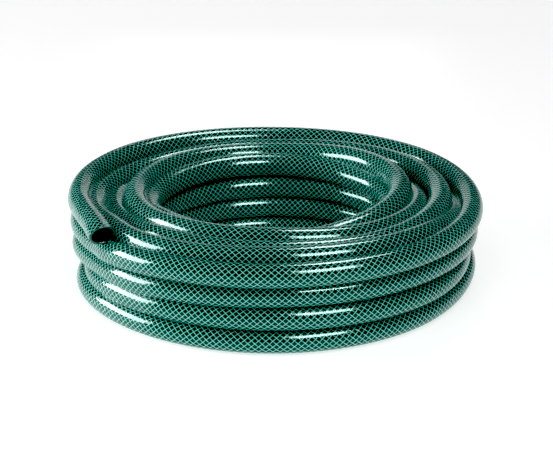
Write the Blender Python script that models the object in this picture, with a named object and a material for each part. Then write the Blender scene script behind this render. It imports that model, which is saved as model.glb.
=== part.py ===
"""Garden hose, wound into a round coil that lies flat.

The coil is one turned solid whose section follows the turns, so they show on its ends, its outside
and its inside. The last turn is a hollow tube: it rises out of the row below at the left, runs once
round on top of the outer column and ends in the hose's open mouth, above the place it rose from. Its
end is straighter than the turns, so it cuts a little inside their circle before the mouth.
Sizes are in metres and angles in degrees. The coil's axis is +Z and it stands on z = 0.
"""

import math

import bmesh
import bpy
from mathutils import Vector

# The hose
HOSE_DIAMETER = 0.024
HOSE_BORE = 0.019

# The coil
COIL_DIAMETER = 0.415
COLUMNS = 4
ROWS = 4
COLUMN_PITCH = 0.0222
ROW_PITCH = 0.0232

# The last turn, with angles counted anticlockwise from +X as seen from above
CLIMB_START_ANGLE = 176.0
CLIMB_END_ANGLE = 256.0
MOUTH_ANGLE = 572.5
SUNK_START = 0.010
END_LIFT = 0.006
END_LIFT_ANGLE = 120.0
END_INSET = 0.006
INSET_START_ANGLE = 534.0
INSET_END_ANGLE = 578.0
BORE_DEPTH = 0.30

# Facets
COIL_STEPS = 48
SECTION_STEP = 36.0
TUBE_SIDES = 12
TUBE_STEP_ANGLE = 5.5

HOSE_GREEN = (0.012, 0.155, 0.105, 1.0)
HOSE_ROUGHNESS = 0.25
SMOOTH_LIMIT = 60.0

HOSE_RADIUS = HOSE_DIAMETER / 2
OUTER_TURN_RADIUS = COIL_DIAMETER / 2 - HOSE_RADIUS
BOTTOM_TURN_HEIGHT = HOSE_RADIUS * math.cos(math.radians(SECTION_STEP / 2))


def turn_centre(cell):
    """Radius and height of a turn's centre line, for a cell of (column from outside, row)."""
    column, row = cell
    return (OUTER_TURN_RADIUS - column * COLUMN_PITCH, BOTTOM_TURN_HEIGHT + row * ROW_PITCH)


def boundary_cells():
    """Cells of the turns on the coil's surface, anticlockwise in the (radius, height) plane.

    The top turn of the outer column is left out, because it is the last turn.
    """
    top = ROWS - 1
    inner = COLUMNS - 1
    bottom_cells = [(column, 0) for column in range(inner, -1, -1)]
    outside_cells = [(0, row) for row in range(1, top)]
    top_cells = [(1, top - 1)] + [(column, top) for column in range(1, COLUMNS)]
    inside_cells = [(inner, row) for row in range(top - 1, 0, -1)]
    return bottom_cells + outside_cells + top_cells + inside_cells


def valley_angle(cell, neighbour, side):
    """Angle on a turn's circle at which the neighbour's circle crosses it, on the given side."""
    radius, height = turn_centre(cell)
    other_radius, other_height = turn_centre(neighbour)
    pitch = math.hypot(other_radius - radius, other_height - height)
    direction = math.atan2(other_height - height, other_radius - radius)
    return math.degrees(direction + side * math.acos(min(1.0, pitch / HOSE_DIAMETER)))


def section_outline():
    """Corner points (radius, height) of the coil's section, one arc for each turn."""
    cells = boundary_cells()
    points = []
    for index, cell in enumerate(cells):
        radius, height = turn_centre(cell)
        start = valley_angle(cell, cells[index - 1], 1)
        end = valley_angle(cell, cells[(index + 1) % len(cells)], -1)
        while end < start:
            end += 360.0
        angles = [start]
        corner = math.ceil((start + 1.0) / SECTION_STEP) * SECTION_STEP
        while corner < end - 1.0:
            angles.append(corner)
            corner += SECTION_STEP
        for angle in angles:
            radians = math.radians(angle)
            points.append((radius + HOSE_RADIUS * math.cos(radians),
                           height + HOSE_RADIUS * math.sin(radians)))
    return points


def ease(value):
    """Go smoothly from 0 to 1, level at both ends."""
    value = min(max(value, 0.0), 1.0)
    return value * value * (3.0 - 2.0 * value)


def last_turn_point(angle):
    """Centre-line point of the last turn at an angle."""
    radius, high = turn_centre((0, ROWS - 1))
    climb = ease((angle - CLIMB_START_ANGLE) / (CLIMB_END_ANGLE - CLIMB_START_ANGLE))
    lift = END_LIFT * ease((angle - MOUTH_ANGLE + END_LIFT_ANGLE) / END_LIFT_ANGLE)
    along_inset = (angle - INSET_START_ANGLE) / (INSET_END_ANGLE - INSET_START_ANGLE)
    inset = END_INSET * math.sin(math.pi * min(max(along_inset, 0.0), 1.0)) ** 2
    radius -= SUNK_START * (1.0 - climb) + inset
    height = high - (ROW_PITCH + SUNK_START) * (1.0 - climb) + lift
    radians = math.radians(angle)
    return Vector((radius * math.cos(radians), radius * math.sin(radians), height))


def last_turn_route():
    """Centre-line points of the last turn, from its sunk start to the mouth."""
    count = round((MOUTH_ANGLE - CLIMB_START_ANGLE) / TUBE_STEP_ANGLE)
    step = (MOUTH_ANGLE - CLIMB_START_ANGLE) / count
    return [last_turn_point(CLIMB_START_ANGLE + index * step) for index in range(count + 1)]


def ring_of_verts(mesh, centre, direction, radius):
    """Add a ring of vertices across a tube, round its centre line."""
    side = direction.cross(Vector((0.0, 0.0, 1.0))).normalized()
    up = side.cross(direction)
    ring = []
    for index in range(TUBE_SIDES):
        angle = 2.0 * math.pi * index / TUBE_SIDES
        ring.append(mesh.verts.new(centre + radius * (math.cos(angle) * side + math.sin(angle) * up)))
    return ring


def bridge(mesh, first, second):
    """Join two rings of vertices with quads."""
    for index in range(TUBE_SIDES):
        after = (index + 1) % TUBE_SIDES
        mesh.faces.new((first[index], first[after], second[after], second[index]))


def hose_material():
    """Glossy dark green plastic."""
    material = bpy.data.materials.new("hose_green")
    material.use_nodes = True
    shader = material.node_tree.nodes["Principled BSDF"]
    shader.inputs["Base Color"].default_value = HOSE_GREEN
    shader.inputs["Roughness"].default_value = HOSE_ROUGHNESS
    shader.inputs["Metallic"].default_value = 0.0
    return material


def new_object(name, mesh, material):
    """Make an object from a bmesh, with its faces pointing out."""
    bmesh.ops.recalc_face_normals(mesh, faces=mesh.faces)
    data = bpy.data.meshes.new(name)
    mesh.to_mesh(data)
    mesh.free()
    data.materials.append(material)
    data.shade_smooth()
    data.set_sharp_from_angle(angle=math.radians(SMOOTH_LIMIT))
    item = bpy.data.objects.new(name, data)
    bpy.context.scene.collection.objects.link(item)
    return item


def make_coil(material):
    """Turn the section once round the coil's axis."""
    mesh = bmesh.new()
    verts = [mesh.verts.new((radius, 0.0, height)) for radius, height in section_outline()]
    edges = [mesh.edges.new((verts[index - 1], verts[index])) for index in range(len(verts))]
    bmesh.ops.spin(mesh, geom=verts + edges, axis=(0.0, 0.0, 1.0), cent=(0.0, 0.0, 0.0),
                   angle=2.0 * math.pi, steps=COIL_STEPS, use_merge=True)
    return new_object("hose", mesh, material)


def make_last_turn(material):
    """Sweep the last turn: a closed start, the outer wall, the mouth and the bore inside it."""
    route = last_turn_route()
    directions = [(route[min(index + 1, len(route) - 1)] - route[max(index - 1, 0)]).normalized()
                  for index in range(len(route))]
    bore_start = len(route) - 1
    depth = 0.0
    while bore_start > 1 and depth < BORE_DEPTH:
        depth += (route[bore_start] - route[bore_start - 1]).length
        bore_start -= 1
    mesh = bmesh.new()
    outer = [ring_of_verts(mesh, point, direction, HOSE_RADIUS)
             for point, direction in zip(route, directions)]
    bore = [ring_of_verts(mesh, point, direction, HOSE_BORE / 2)
            for point, direction in zip(route[bore_start:], directions[bore_start:])]
    for rings in (outer, bore):
        for first, second in zip(rings, rings[1:]):
            bridge(mesh, first, second)
    bridge(mesh, outer[-1], bore[-1])
    mesh.faces.new(outer[0])
    mesh.faces.new(bore[0])
    return new_object("last_turn", mesh, material)


def build_hose():
    """Join the coil and its last turn into one piece."""
    material = hose_material()
    coil = make_coil(material)
    last_turn = make_last_turn(material)
    last_turn.hide_render = True
    last_turn.display_type = "WIRE"
    union = coil.modifiers.new("last_turn", "BOOLEAN")
    union.operation = "UNION"
    union.object = last_turn


for scene_object in list(bpy.data.objects):
    bpy.data.objects.remove(scene_object, do_unlink=True)
build_hose()
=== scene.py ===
import logging
import math
from dataclasses import dataclass, field
from enum import Enum
from typing import Any, Sequence, Union

import bpy
import numpy as np
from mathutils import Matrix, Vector


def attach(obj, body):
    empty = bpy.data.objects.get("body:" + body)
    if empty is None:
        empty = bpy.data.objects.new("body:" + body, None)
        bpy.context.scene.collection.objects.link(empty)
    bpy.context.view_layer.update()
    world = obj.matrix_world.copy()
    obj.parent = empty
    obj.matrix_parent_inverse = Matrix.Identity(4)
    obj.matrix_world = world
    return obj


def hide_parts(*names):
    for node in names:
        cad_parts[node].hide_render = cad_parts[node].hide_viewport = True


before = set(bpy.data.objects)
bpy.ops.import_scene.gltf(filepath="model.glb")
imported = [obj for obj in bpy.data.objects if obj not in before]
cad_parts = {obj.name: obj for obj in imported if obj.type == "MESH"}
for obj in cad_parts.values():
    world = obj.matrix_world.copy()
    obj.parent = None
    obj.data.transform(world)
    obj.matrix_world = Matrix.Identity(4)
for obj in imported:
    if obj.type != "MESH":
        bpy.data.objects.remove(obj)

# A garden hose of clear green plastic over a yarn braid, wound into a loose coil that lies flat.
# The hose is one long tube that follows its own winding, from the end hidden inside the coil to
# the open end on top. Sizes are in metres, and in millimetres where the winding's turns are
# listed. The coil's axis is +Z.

LOG = logging.getLogger("garden_hose")
IMAGE_WIDTH = 553
IMAGE_HEIGHT = 461
FULL_TURN = 2.0 * math.pi
MILLIMETRE = 0.001
BRAID_MAP = "HoseUV"
BAKE_MAP = "OFBake"

Colour = tuple[float, float, float, float]
WHITE: Colour = (1.0, 1.0, 1.0, 1.0)


class Region(Enum):
    """The parts of the hose's surface, by material slot."""

    WALL = 0
    CUT = 1
    BORE = 2


# Shader building


Number = Union[int, float]


class Signal:
    """A shader socket that takes part in Python arithmetic."""

    def __init__(self, sketch: "Sketch", socket: bpy.types.NodeSocket) -> None:
        """Wrap one output socket.

        Args:
            sketch: the node sketch that the socket belongs to.
            socket: the output socket.
        """
        self.sketch = sketch
        self.socket = socket

    def _math(self, operation: str, *values: Union["Signal", Number]) -> "Signal":
        """Add one Math node.

        Args:
            operation: the node's operation.
            values: its inputs in order.

        Returns:
            The node's result.
        """
        return self.sketch.node("ShaderNodeMath", {"operation": operation}, dict(enumerate(values)))

    def __add__(self, other: Union["Signal", Number]) -> "Signal":
        """Add a value."""
        return self._math("ADD", self, other)

    def __sub__(self, other: Union["Signal", Number]) -> "Signal":
        """Take a value away."""
        return self._math("SUBTRACT", self, other)

    def __rsub__(self, other: Number) -> "Signal":
        """Take this away from a value."""
        return self._math("SUBTRACT", other, self)

    def __mul__(self, other: Union["Signal", Number]) -> "Signal":
        """Multiply by a value."""
        return self._math("MULTIPLY", self, other)

    def __abs__(self) -> "Signal":
        """Drop the sign."""
        return self._math("ABSOLUTE", self)

    def fraction(self) -> "Signal":
        """Keep what follows the point."""
        return self._math("FRACT", self)

    def floor(self) -> "Signal":
        """Round down to a whole number."""
        return self._math("FLOOR", self)

    def sine(self) -> "Signal":
        """Take the sine of an angle in radians."""
        return self._math("SINE", self)

    def cosine(self) -> "Signal":
        """Take the cosine of an angle in radians."""
        return self._math("COSINE", self)

    def largest(self, other: Union["Signal", Number]) -> "Signal":
        """Keep the larger of two values."""
        return self._math("MAXIMUM", self, other)

    def band(self, inside: float, outside: float) -> "Signal":
        """Go smoothly from 1 to 0 as the value passes from inside to outside.

        Args:
            inside: the value up to which the result is 1.
            outside: the value from which the result is 0.

        Returns:
            The band's strength.
        """
        settings = {"interpolation_type": "SMOOTHSTEP"}
        values = {"Value": self, "From Min": inside, "From Max": outside, "To Min": 1.0, "To Max": 0.0}
        return self.sketch.node("ShaderNodeMapRange", settings, values)


Value = Union[Signal, Number, Sequence[float]]


class Sketch:
    """The node tree of a material or a world, with one method that makes any node."""

    def __init__(self, owner: Union[bpy.types.Material, bpy.types.World]) -> None:
        """Start with no nodes.

        Args:
            owner: the material or world.
        """
        owner.use_nodes = True
        self.owner = owner
        self.tree = owner.node_tree
        self.tree.nodes.clear()

    def make(self, kind: str, settings: dict[str, Any], values: dict[Any, Value]) -> bpy.types.Node:
        """Make a node.

        Args:
            kind: the node's type.
            settings: its properties, which are set first.
            values: its inputs by name or number, as values or signals.

        Returns:
            The node.
        """
        made = self.tree.nodes.new(kind)
        for name, setting in settings.items():
            setattr(made, name, setting)
        for name, value in values.items():
            if isinstance(value, Signal):
                self.tree.links.new(value.socket, made.inputs[name])
            else:
                made.inputs[name].default_value = value
        return made

    def node(self, kind: str, settings: dict[str, Any], values: dict[Any, Value],
             output: Union[int, str] = 0) -> Signal:
        """Make a node and take one of its outputs.

        Args:
            kind: the node's type.
            settings: its properties.
            values: its inputs by name or number, as values or signals.
            output: the output that is wanted, by name or number.

        Returns:
            The wanted output.
        """
        return Signal(self, self.make(kind, settings, values).outputs[output])

    def separate(self, vector: Signal) -> tuple[Signal, Signal, Signal]:
        """Split a vector.

        Args:
            vector: the vector.

        Returns:
            Its three parts.
        """
        first = self.node("ShaderNodeSeparateXYZ", {}, {0: vector})
        outputs = first.socket.node.outputs
        return first, Signal(self, outputs[1]), Signal(self, outputs[2])

    def blend(self, amount: Value, low: Value, high: Value) -> Signal:
        """Mix two colours.

        Args:
            amount: 0 for the low colour, 1 for the high one.
            low: the low colour.
            high: the high colour.

        Returns:
            The mixed colour.
        """
        settings = {"data_type": "RGBA", "blend_type": "MIX", "clamp_factor": True}
        return self.node("ShaderNodeMix", settings, {0: amount, 6: low, 7: high}, 2)

    def surface(self, values: dict[str, Value]) -> bpy.types.Material:
        """Finish the material with a Principled shader.

        Args:
            values: the shader's inputs.

        Returns:
            The material.
        """
        shader = self.node("ShaderNodeBsdfPrincipled", {}, values)
        self.make("ShaderNodeOutputMaterial", {}, {"Surface": shader})
        return self.owner


# Finishes


@dataclass(frozen=True)
class BraidedWall:
    """Glossy clear green plastic with a light yarn braid under it, over a dark core.

    The braid reads the map HoseUV: along the hose in diamonds and round it in yarns. Each yarn is
    coloured darker where it dips under the crossing yarn: painted shade of the weave.
    """

    name: str = "hose_braided_wall"
    core: Colour = (0.001, 0.047, 0.039, 1.0)
    plastic: Colour = (0.003, 0.100, 0.079, 1.0)
    yarn: Colour = (0.40, 0.97, 0.84, 1.0)
    # The next colour is the yarn darkened by painted shade, where it dips under the crossing yarn.
    yarn_painted_shade: Colour = (0.05, 0.36, 0.27, 1.0)
    specular_tint: Colour = (0.70, 1.0, 0.93, 1.0)
    half_yarn: float = 0.078
    yarn_edge: float = 0.045
    # How far from a yarn the plastic carries its painted glow, as a share of the yarn spacing.
    glow: float = 0.26
    # How much painted light a yarn keeps where it dips under the crossing yarn, from 0 to 1.
    lowest_painted_weave_light: float = 0.3
    yarn_rise: float = 0.6
    weave_rise: float = 0.4
    glow_rise: float = 0.35
    relief: float = 0.00002
    roughness: float = 0.13
    yarn_roughness: float = 0.17
    ior: float = 1.5

    def build(self) -> bpy.types.Material:
        """Make the material.

        Returns:
            The material.
        """
        sketch = Sketch(bpy.data.materials.new(self.name))
        place = sketch.node("ShaderNodeUVMap", {"uv_map": BRAID_MAP}, {})
        along, around, _ = sketch.separate(place)
        right = around + along
        left = around - along
        right_gap = abs(right.fraction() - 0.5)
        left_gap = abs(left.fraction() - 0.5)
        inside, outside = self.half_yarn - self.yarn_edge, self.half_yarn + self.yarn_edge
        right_yarn = right_gap.band(inside, outside)
        left_yarn = left_gap.band(inside, outside)
        right_sign = (right.floor() * math.pi).cosine()
        left_sign = (left.floor() * math.pi).cosine()
        right_lift = (left * math.pi).sine() * right_sign * 0.5 + 0.5
        left_lift = 0.5 - (right * math.pi).sine() * left_sign * 0.5
        yarns = right_yarn.largest(left_yarn)
        lift = (right_yarn * right_lift).largest(left_yarn * left_lift)
        # Painted glow: the plastic is coloured lighter near each yarn, standing in for light scattered
        # from the yarn into the clear layer.
        nearest = right_gap.band(0.0, self.glow).largest(left_gap.band(0.0, self.glow))
        body = sketch.blend(nearest, self.core, self.plastic)
        # Painted shade of the weave: a yarn is coloured darker where it dips under the crossing yarn
        # and lighter where it rides over.
        painted_weave_light = lift * (1.0 - self.lowest_painted_weave_light) + self.lowest_painted_weave_light
        thread = sketch.blend(painted_weave_light, self.yarn_painted_shade, self.yarn)
        colour = sketch.blend(yarns, body, thread)
        height = yarns * self.yarn_rise + lift * self.weave_rise + nearest * self.glow_rise
        bump = sketch.node("ShaderNodeBump", {}, {"Distance": self.relief, "Height": height})
        roughness = yarns * (self.yarn_roughness - self.roughness) + self.roughness
        return sketch.surface({
            "Base Color": colour,
            "Roughness": roughness,
            "Normal": bump,
            "IOR": self.ior,
            "Specular Tint": self.specular_tint,
        })


@dataclass(frozen=True)
class PlainPlastic:
    """Plain plastic with a faint mottle, for the cut ends and the bore."""

    name: str
    colour: Colour
    mottle: Colour
    grain: float
    roughness: float
    ior: float = 1.5

    def build(self) -> bpy.types.Material:
        """Make the material.

        Returns:
            The material.
        """
        sketch = Sketch(bpy.data.materials.new(self.name))
        place = sketch.node("ShaderNodeTexCoord", {}, {}, "Object")
        noise = sketch.node("ShaderNodeTexNoise", {}, {"Vector": place, "Scale": self.grain})
        colour = sketch.blend(noise, self.colour, self.mottle)
        return sketch.surface({"Base Color": colour, "Roughness": self.roughness, "IOR": self.ior})


CUT_PLASTIC = PlainPlastic(
    name="hose_cut_face",
    colour=(0.04, 0.12, 0.10, 1.0),
    mottle=(0.09, 0.22, 0.19, 1.0),
    grain=900.0,
    roughness=0.25,
)
BORE_PLASTIC = PlainPlastic(
    name="hose_bore",
    colour=(0.0010, 0.006, 0.005, 1.0),
    mottle=(0.0018, 0.010, 0.008, 1.0),
    grain=300.0,
    roughness=0.45,
)


# The winding


@dataclass(frozen=True)
class Turn:
    """One turn of the coil, run anticlockwise as seen from above, starting at the left.

    Columns are counted outwards from the eye, and rows upwards from the floor. A loose coil strays
    from them: each station is an angle past the left in degrees, and how many millimetres outside
    and above its column and row the hose lies there.
    """

    name: str
    column: int
    row: int
    stations: tuple[tuple[float, float, float], ...]


def turn(name: str, column: int, row: int, *stations: tuple[float, float, float]) -> Turn:
    """Name a turn and how far it strays.

    Args:
        name: what the turn is called.
        column: its column.
        row: its row.
        stations: angle past the left, and the stray outwards and upwards, of each station.

    Returns:
        The turn.
    """
    return Turn(name, column, row, stations)


WINDING = (
    turn("inner bottom", 0, 0, (30, 13, 0), (60, 11, 0), (90, 7, 0), (135, 1, 0), (180, 0, 0),
         (225, 0, 0), (270, 0, 0), (315, 0, 1)),
    turn("inner second", 0, 1, (0, -1, -17), (45, -7, -11), (90, -10, -8), (135, -7, -5),
         (180, -3, -3), (225, 0, -1), (270, 0, -0.5), (315, 0, 0)),
    turn("inner third", 0, 2, (0, -2, -20), (45, -7, -13), (90, -9, -9), (135, -8, -7), (180, -4, -6),
         (225, 0, -3), (270, 0, -2), (315, 0, -2.5)),
    turn("inner top", 0, 3, (0, 6, -24), (45, 8, -18), (90, 4, -12), (135, 0, -10), (180, -4, -9),
         (225, -2, -5.5), (270, 0, -1.5), (315, -0.5, -1), (337.5, 0.8, -4.8)),
    turn("upper first", 0, 3, (0, -3.5, -6.5), (22.5, -13, -3), (45, -17, -1), (90, -20, -3),
         (135, -14, 5), (180, -3, 12), (225, 5, 12), (270, 21, 2.5), (315, 19, 5)),
    turn("upper second", 1, 3, (0, -9, 4), (22.5, -16, 4), (45, -17.5, 8), (90, -18, 10.5),
         (135, -11, 6), (180, -7, 1), (225, -4, -11), (270, 1, -19), (315, 6, -20), (330, 11.6, -13.5),
         (345, 14.2, -9.2)),
    turn("upper third", 2, 3, (0, -12, -9), (22.5, -21.5, -5), (45, -17.2, 3.2), (90, -16, 6),
         (135, -11, 5), (180, -5, 7), (225, -1, 5), (270, 3, -1), (315, 10, -4), (345, 14.3, -6)),
    turn("upper fourth", 2, 2, (0, 9, 16), (22.5, 1, 22), (45, 5, 26), (90, 6, 31.5), (135, 8, 30),
         (157.5, 7, 24), (180, 10, 15), (202.5, 9, 7), (225, 4, 2), (270, 2, -2), (315, 4, -11)),
    turn("middle third", 1, 2, (0, 20, -14), (45, 12, -4), (90, 10, 5), (135, 8, 4), (180, 4, 1),
         (225, 2, -12), (270, 2, -19), (315, 1, -21)),
    turn("middle second", 1, 1, (0, -1, -2), (45, 4, 3), (90, 5, 5), (135, 10, 2), (180, 12, 0),
         (225, 18, -1), (270, 22, -2), (315, 20, -4)),
    turn("middle bottom", 2, 0, (0, -6, 12), (45, -5, 2), (90, -6, 0), (135, -6, 0), (180, -6, 0),
         (225, -7, 0), (270, -9, 0), (315, -5, 0)),
    turn("outer bottom", 3, 0, (0, -4, 0), (45, -3, 0), (90, -3, 0), (135, -7, 0), (157.5, -7.5, 0),
         (180, -1, 4), (202.5, 5, 4), (225, 0, 1), (270, -2, 1), (315, -3, 6)),
    turn("outer second", 3, 1, (0, -12, -7), (22.5, -6, -5), (45, -4, -2), (90, -2, 0.5), (135, -3, 0),
         (180, -7, 0), (225, -3, 0), (270, 0, 1), (315, 1, 4)),
    turn("outer third", 3, 2, (0, 1, -16), (22.5, -7, -13), (45, -2, -6), (90, -2, 0.5), (135, -1, 1),
         (180, 0, 1), (225, 3, 2), (270, 4, 3), (315, 7, 3), (337.5, 8, 3)),
    turn("outer top", 3, 3, (0, 2.5, -18), (22.5, -6.5, -17), (34, -2, -11.8), (45, 2, -5.8),
         (90, 5, -0.5), (135, 5, 0.5), (180, 4.5, 1), (225, 9, 3), (270, 6, 4.5), (315, 11.5, 6),
         (337.5, 11, 5)),
    turn("open end", 3, 3, (0, 4.3, 4), (10, 0, 5), (22.5, 0, 6.5), (32.8, 6.7, 6.6)),
)


@dataclass
class CentreLine:
    """The hose's centre line as evenly spaced points, with a frame of directions at each."""

    points: np.ndarray
    tangents: np.ndarray
    sides: np.ndarray
    ups: np.ndarray
    spacing: float

    @property
    def length(self) -> float:
        """The line's length in metres."""
        return self.spacing * (len(self.points) - 1)


@dataclass
class Winding:
    """The smooth line through the stations of every turn.

    The columns and rows are in millimetres, as the turns' strays are.
    """

    turns: tuple[Turn, ...] = WINDING
    inner_radius: float = 127.0
    column_pitch: float = 21.0
    bottom_height: float = 12.0
    row_pitch: float = 23.0
    step_degrees: float = 0.5
    start_side: float = 180.0

    def stations(self) -> np.ndarray:
        """Work out where each turn's stations are, with angles counted on from turn to turn.

        Returns:
            Rows of angle in degrees, radius and height in metres.
        """
        rows = []
        for number, each in enumerate(self.turns):
            radius = self.inner_radius + each.column * self.column_pitch
            height = self.bottom_height + each.row * self.row_pitch
            for angle, outwards, upwards in each.stations:
                rows.append((360.0 * number + angle,
                             (radius + outwards) * MILLIMETRE,
                             (height + upwards) * MILLIMETRE))
        return np.array(rows)

    def polar(self, angles: np.ndarray) -> np.ndarray:
        """Find the radius and height at each angle, by cubics whose slopes come from the neighbours.

        The hose doesn't dip below the height of a turn that lies on the floor.

        Args:
            angles: the angles in degrees, within the stations' range.

        Returns:
            Rows of radius and height.
        """
        rows = self.stations()
        knots, values = rows[:, 0], rows[:, 1:]
        slopes = np.zeros_like(values)
        slopes[1:-1] = (values[2:] - values[:-2]) / (knots[2:] - knots[:-2])[:, None]
        slopes[-1] = (values[-1] - values[-2]) / (knots[-1] - knots[-2])
        index = np.clip(np.searchsorted(knots, angles, side="right") - 1, 0, len(knots) - 2)
        width = (knots[index + 1] - knots[index])[:, None]
        share = (angles - knots[index])[:, None] / width
        square, cube = share ** 2, share ** 3
        result = ((2 * cube - 3 * square + 1) * values[index]
                  + (cube - 2 * square + share) * width * slopes[index]
                  + (3 * square - 2 * cube) * values[index + 1]
                  + (cube - square) * width * slopes[index + 1])
        result[:, 1] = np.maximum(result[:, 1], self.bottom_height * MILLIMETRE)
        return result

    def centre_line(self, rings: int) -> CentreLine:
        """Follow the winding with evenly spaced points.

        Args:
            rings: how many spaces there are between the points.

        Returns:
            The centre line.
        """
        rows = self.stations()
        angles = np.arange(rows[0, 0], rows[-1, 0] + self.step_degrees / 2, self.step_degrees)
        polar = self.polar(np.minimum(angles, rows[-1, 0]))
        turned = np.radians(self.start_side + angles)
        raw = np.column_stack((polar[:, 0] * np.cos(turned), polar[:, 0] * np.sin(turned), polar[:, 1]))
        travelled = np.concatenate(([0.0], np.cumsum(np.linalg.norm(np.diff(raw, axis=0), axis=1))))
        wanted = np.linspace(0.0, travelled[-1], rings + 1)
        points = np.column_stack([np.interp(wanted, travelled, raw[:, axis]) for axis in range(3)])
        tangents = np.gradient(points, axis=0)
        tangents /= np.linalg.norm(tangents, axis=1)[:, None]
        sides = np.cross(tangents, (0.0, 0.0, 1.0))
        sides /= np.linalg.norm(sides, axis=1)[:, None]
        return CentreLine(points, tangents, sides, np.cross(sides, tangents), travelled[-1] / rings)


# The hose


@dataclass
class GardenHose:
    """The hose itself: one tube with an open bore, wound into the coil.

    Near its mouth the tube is a little flattened and widened, and cut at a slant.
    """

    outside: float = 0.024
    bore: float = 0.019
    sold_length: float = 15.0
    rings: int = 2300
    bore_rings: int = 700
    around: int = 28
    edge_break: float = 0.0005
    mouth_slant: float = 24.0
    mouth_widening: float = 0.13
    mouth_flattening: float = 0.12
    mouth_reach: float = 0.05
    diamond_length: float = 0.0063
    yarns_each_way: int = 13
    tile_diamonds: int = 8
    tile_start: float = 0.02
    tile_width: float = 0.86
    smooth_limit: float = 35.0
    wall: BraidedWall = field(default_factory=BraidedWall)
    cut: PlainPlastic = CUT_PLASTIC
    inside: PlainPlastic = BORE_PLASTIC

    def profile(self, length: float) -> list[tuple[float, float, Region]]:
        """Rings of the tube in order: along the wall, over the mouth's rim, back along the bore.

        Args:
            length: the length of the centre line.

        Returns:
            Place along the line, radius, and the region of the band that follows each ring.
        """
        outer, inner, edge = self.outside / 2, self.bore / 2, self.edge_break
        wall = [(place, outer, Region.WALL) for place in np.linspace(edge, length - edge, self.rings)]
        wall[-1] = (length - edge, outer, Region.CUT)
        mouth = [(length, outer - edge, Region.CUT), (length, inner + edge, Region.CUT)]
        hole = [(place, inner, Region.BORE)
                for place in np.linspace(length - edge, edge, self.bore_rings)]
        hole[-1] = (edge, inner, Region.CUT)
        start = [(0.0, inner + edge, Region.CUT), (0.0, outer - edge, Region.CUT)]
        return wall + mouth + hole + start

    def ring_points(self, line: CentreLine, place: float, radius: float) -> np.ndarray:
        """Points of one ring, leaning towards the slanted cut near the mouth.

        Args:
            line: the centre line.
            place: distance along it.
            radius: the ring's radius.

        Returns:
            The ring's points.
        """
        spot = place / line.spacing
        index = min(int(spot), len(line.points) - 2)
        share = spot - index
        centre, tangent, side, up = (
            values[index] * (1.0 - share) + values[index + 1] * share
            for values in (line.points, line.tangents, line.sides, line.ups))
        turned = FULL_TURN * np.arange(self.around) / self.around
        lean = max(0.0, 1.0 - (line.length - place) / self.mouth_reach) ** 2
        high = -np.cos(turned) * radius * (1.0 - self.mouth_flattening * lean)
        wide = np.sin(turned) * radius * (1.0 + self.mouth_widening * lean)
        shift = high * math.tan(math.radians(self.mouth_slant)) * lean
        return centre + wide[:, None] * side + high[:, None] * up + shift[:, None] * tangent

    def mesh_data(self, line: CentreLine) -> tuple[np.ndarray, ...]:
        """Work out the tube's mesh.

        Args:
            line: the centre line.

        Returns:
            Vertices, quads, regions, and for each corner its braid and its tile coordinates.
        """
        profile = self.profile(line.length)
        rings = [self.ring_points(line, place, radius) for place, radius, _ in profile]
        vertices = np.concatenate(rings)
        count = len(profile)
        first = np.repeat(np.arange(count), self.around)
        second = (first + 1) % count
        here = np.tile(np.arange(self.around), count)
        after = (here + 1) % self.around
        quads = np.column_stack((first * self.around + here, second * self.around + here,
                                 second * self.around + after, first * self.around + after))
        regions = np.repeat([region.value for _, _, region in profile], self.around)
        places = np.array([place for place, _, _ in profile]) / self.diamond_length
        corner_along = np.column_stack((places[first], places[second], places[second], places[first]))
        corner_round = np.column_stack((here, here, here + 1, here + 1)) / self.around
        braid = np.stack((corner_along, corner_round * self.yarns_each_way), axis=-1)
        tile_round = self.tile_start + self.tile_width * corner_round
        tile = np.stack((corner_along / self.tile_diamonds, tile_round), axis=-1)
        return vertices, quads, regions, braid, tile

    def build(self, line: CentreLine) -> bpy.types.Object:
        """Make the wound hose.

        Args:
            line: the centre line.

        Returns:
            The hose.
        """
        vertices, quads, regions, braid, tile = self.mesh_data(line)
        mesh = bpy.data.meshes.new("hose_wound")
        mesh.from_pydata(vertices.tolist(), [], quads.tolist())
        for name, corners in ((BRAID_MAP, braid), (BAKE_MAP, tile)):
            layer = mesh.uv_layers.new(name=name)
            layer.data.foreach_set("uv", corners.astype(np.float32).ravel())
        for finish in (self.wall, self.cut, self.inside):
            mesh.materials.append(finish.build())
        mesh.polygons.foreach_set("material_index", regions.astype(np.int32))
        mesh.shade_smooth()
        mesh.set_sharp_from_angle(angle=math.radians(self.smooth_limit))
        mesh.validate()
        hose = bpy.data.objects.new("hose_wound", mesh)
        bpy.context.scene.collection.objects.link(hose)
        return hose

    def place(self, hose: bpy.types.Object, line: CentreLine) -> None:
        """Put the hose in the frame in place of its plain solid.

        Args:
            hose: the wound hose.
            line: its centre line; not used.
        """
        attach(hose, "root")
        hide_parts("hose")


# The studio


@dataclass(frozen=True)
class Softbox:
    """One soft light, placed by its direction from the coil.

    Azimuth 0 is on the camera's side and positive to the right. Angles are in degrees. A highlight
    box shows only in the gloss, and a fill lights the plastic without a reflection of its own.
    """

    name: str
    azimuth: float
    elevation: float
    distance: float
    width: float
    height: float
    power: float
    highlight: bool = True


SOFTBOXES = (
    Softbox("left_window", -94.0, 17.0, 1.7, 1.15, 0.70, 54.0),
    Softbox("right_window", 31.0, 45.0, 1.8, 0.85, 0.55, 40.0),
    Softbox("back_window", 158.0, 62.0, 1.7, 0.45, 0.50, 14.0),
    Softbox("back_panel", 180.0, 13.0, 0.9, 0.44, 0.42, 0.50),
    Softbox("front_fill", 5.0, 61.0, 2.5, 2.0, 1.5, 29.0, highlight=False),
    Softbox("left_fill", -95.0, 12.0, 2.0, 1.0, 0.6, 24.0, highlight=False),
)


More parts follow.
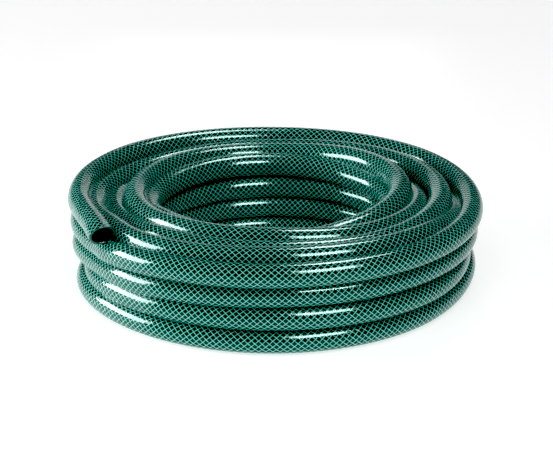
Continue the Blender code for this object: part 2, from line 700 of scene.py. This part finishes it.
@dataclass
class Studio:
    """The camera, the lights and the floor."""

    target: tuple[float, float, float] = (0.0, 0.0, 0.045)
    camera_elevation: float = 20.5
    camera_distance: float = 2.6
    focal_pixels: float = 2600.0
    target_pixel: tuple[float, float] = (275.3, 238.0)
    sensor_width: float = 36.0
    nearest_seen: float = 0.05
    farthest_seen: float = 50.0
    floor_size: float = 9.0
    floor_colour: Colour = (0.55, 0.55, 0.55, 1.0)
    floor_roughness: float = 0.6
    floor_glow: float = 0.71
    # The floor's glow colour inside the coil's eye: painted shade.
    painted_eye_shade: Colour = (0.20, 0.20, 0.20, 1.0)
    eye_radius: float = 0.14
    open_radius: float = 0.19
    horizon_strength: float = 0.20
    overhead_strength: float = 0.12
    horizon_height: float = 0.08
    overhead_height: float = 0.26
    black_level: float = 0.048
    softboxes: tuple[Softbox, ...] = SOFTBOXES

    def direction(self, azimuth: float, elevation: float) -> Vector:
        """Direction from the coil, by azimuth from the camera's side and elevation.

        Args:
            azimuth: degrees to the right of the camera's side.
            elevation: degrees above the horizon.

        Returns:
            A unit vector.
        """
        turned, raised = math.radians(azimuth), math.radians(elevation)
        return Vector((math.sin(turned) * math.cos(raised),
                       -math.cos(turned) * math.cos(raised),
                       math.sin(raised)))

    def aim(self, item: bpy.types.Object, azimuth: float, elevation: float, distance: float) -> None:
        """Stand an object off the coil and turn it to face the target.

        Args:
            item: the camera or light.
            azimuth: degrees to the right of the camera's side.
            elevation: degrees above the horizon.
            distance: metres from the target.
        """
        away = self.direction(azimuth, elevation)
        item.location = Vector(self.target) + away * distance
        item.rotation_mode = "QUATERNION"
        item.rotation_quaternion = (-away).to_track_quat("-Z", "Y")

    def add_camera(self) -> None:
        """Add the camera at the photograph's angle."""
        data = bpy.data.cameras.new("camera")
        data.sensor_width = self.sensor_width
        data.lens = self.focal_pixels / IMAGE_WIDTH * self.sensor_width
        data.shift_x = (IMAGE_WIDTH / 2 - self.target_pixel[0]) / IMAGE_WIDTH
        data.shift_y = (self.target_pixel[1] - IMAGE_HEIGHT / 2) / IMAGE_WIDTH
        data.clip_start, data.clip_end = self.nearest_seen, self.farthest_seen
        camera = bpy.data.objects.new("camera", data)
        bpy.context.scene.collection.objects.link(camera)
        self.aim(camera, 0.0, self.camera_elevation, self.camera_distance)
        bpy.context.scene.camera = camera

    def add_lights(self) -> None:
        """Add the softboxes."""
        for box in self.softboxes:
            data = bpy.data.lights.new(box.name, "AREA")
            data.shape = "RECTANGLE"
            data.size, data.size_y = box.width, box.height
            data.energy = box.power
            light = bpy.data.objects.new(box.name, data)
            light.visible_diffuse = not box.highlight
            light.visible_glossy = box.highlight
            bpy.context.scene.collection.objects.link(light)
            self.aim(light, box.azimuth, box.elevation, box.distance)

    def add_surroundings(self) -> None:
        """Add dim surroundings, a little brighter at the horizon than overhead."""
        world = bpy.data.worlds.new("studio")
        sketch = Sketch(world)
        _, _, up = sketch.separate(sketch.node("ShaderNodeTexCoord", {}, {}, "Generated"))
        strength = sketch.node("ShaderNodeMapRange", {}, {
            "Value": up,
            "From Min": self.horizon_height,
            "From Max": self.overhead_height,
            "To Min": self.horizon_strength,
            "To Max": self.overhead_strength,
        })
        background = sketch.node("ShaderNodeBackground", {}, {"Color": WHITE, "Strength": strength})
        sketch.make("ShaderNodeOutputWorld", {}, {"Surface": background})
        bpy.context.scene.world = world

    def set_tones(self) -> None:
        """Show colours plainly, with the darkest shades pressed to black as in the photograph."""
        view = bpy.context.scene.view_settings
        view.view_transform = "Standard"
        view.use_curve_mapping = True
        view.curve_mapping.black_level = (self.black_level,) * 3
        view.curve_mapping.update()

    def add_floor(self) -> None:
        """Lay the pale floor, which glows less in the coil's eye: painted shade on the floor inside the
        coil.
        """
        bpy.ops.mesh.primitive_plane_add(size=self.floor_size, location=(0.0, 0.0, 0.0))
        floor = bpy.context.active_object
        floor.name = "studio_floor"
        sketch = Sketch(bpy.data.materials.new("studio_floor"))
        place = sketch.node("ShaderNodeTexCoord", {}, {}, "Object")
        distance = sketch.node("ShaderNodeVectorMath", {"operation": "LENGTH"}, {0: place}, "Value")
        # Painted shade: the floor glows less inside the coil's eye, as if shaded by the coil.
        painted_shade_in_eye = distance.band(self.eye_radius, self.open_radius)
        floor.data.materials.append(sketch.surface({
            "Base Color": self.floor_colour,
            "Roughness": self.floor_roughness,
            "Emission Color": sketch.blend(painted_shade_in_eye, WHITE, self.painted_eye_shade),
            "Emission Strength": self.floor_glow,
        }))

    def build(self) -> None:
        """Set the studio up."""
        self.add_camera()
        self.add_lights()
        self.add_surroundings()
        self.set_tones()
        self.add_floor()


def main() -> None:
    """Build the studio and the hose, and report each piece."""
    logging.basicConfig(level=logging.INFO, format="%(name)s: %(message)s")
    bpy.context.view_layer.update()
    Studio().build()
    hose = GardenHose()
    line = Winding().centre_line(hose.rings)
    wound = hose.build(line)
    hose.place(wound, line)
    LOG.info("%s: %.2f m along its middle, %d faces", wound.name, line.length, len(wound.data.polygons))


if __name__ == "__main__":
    main()
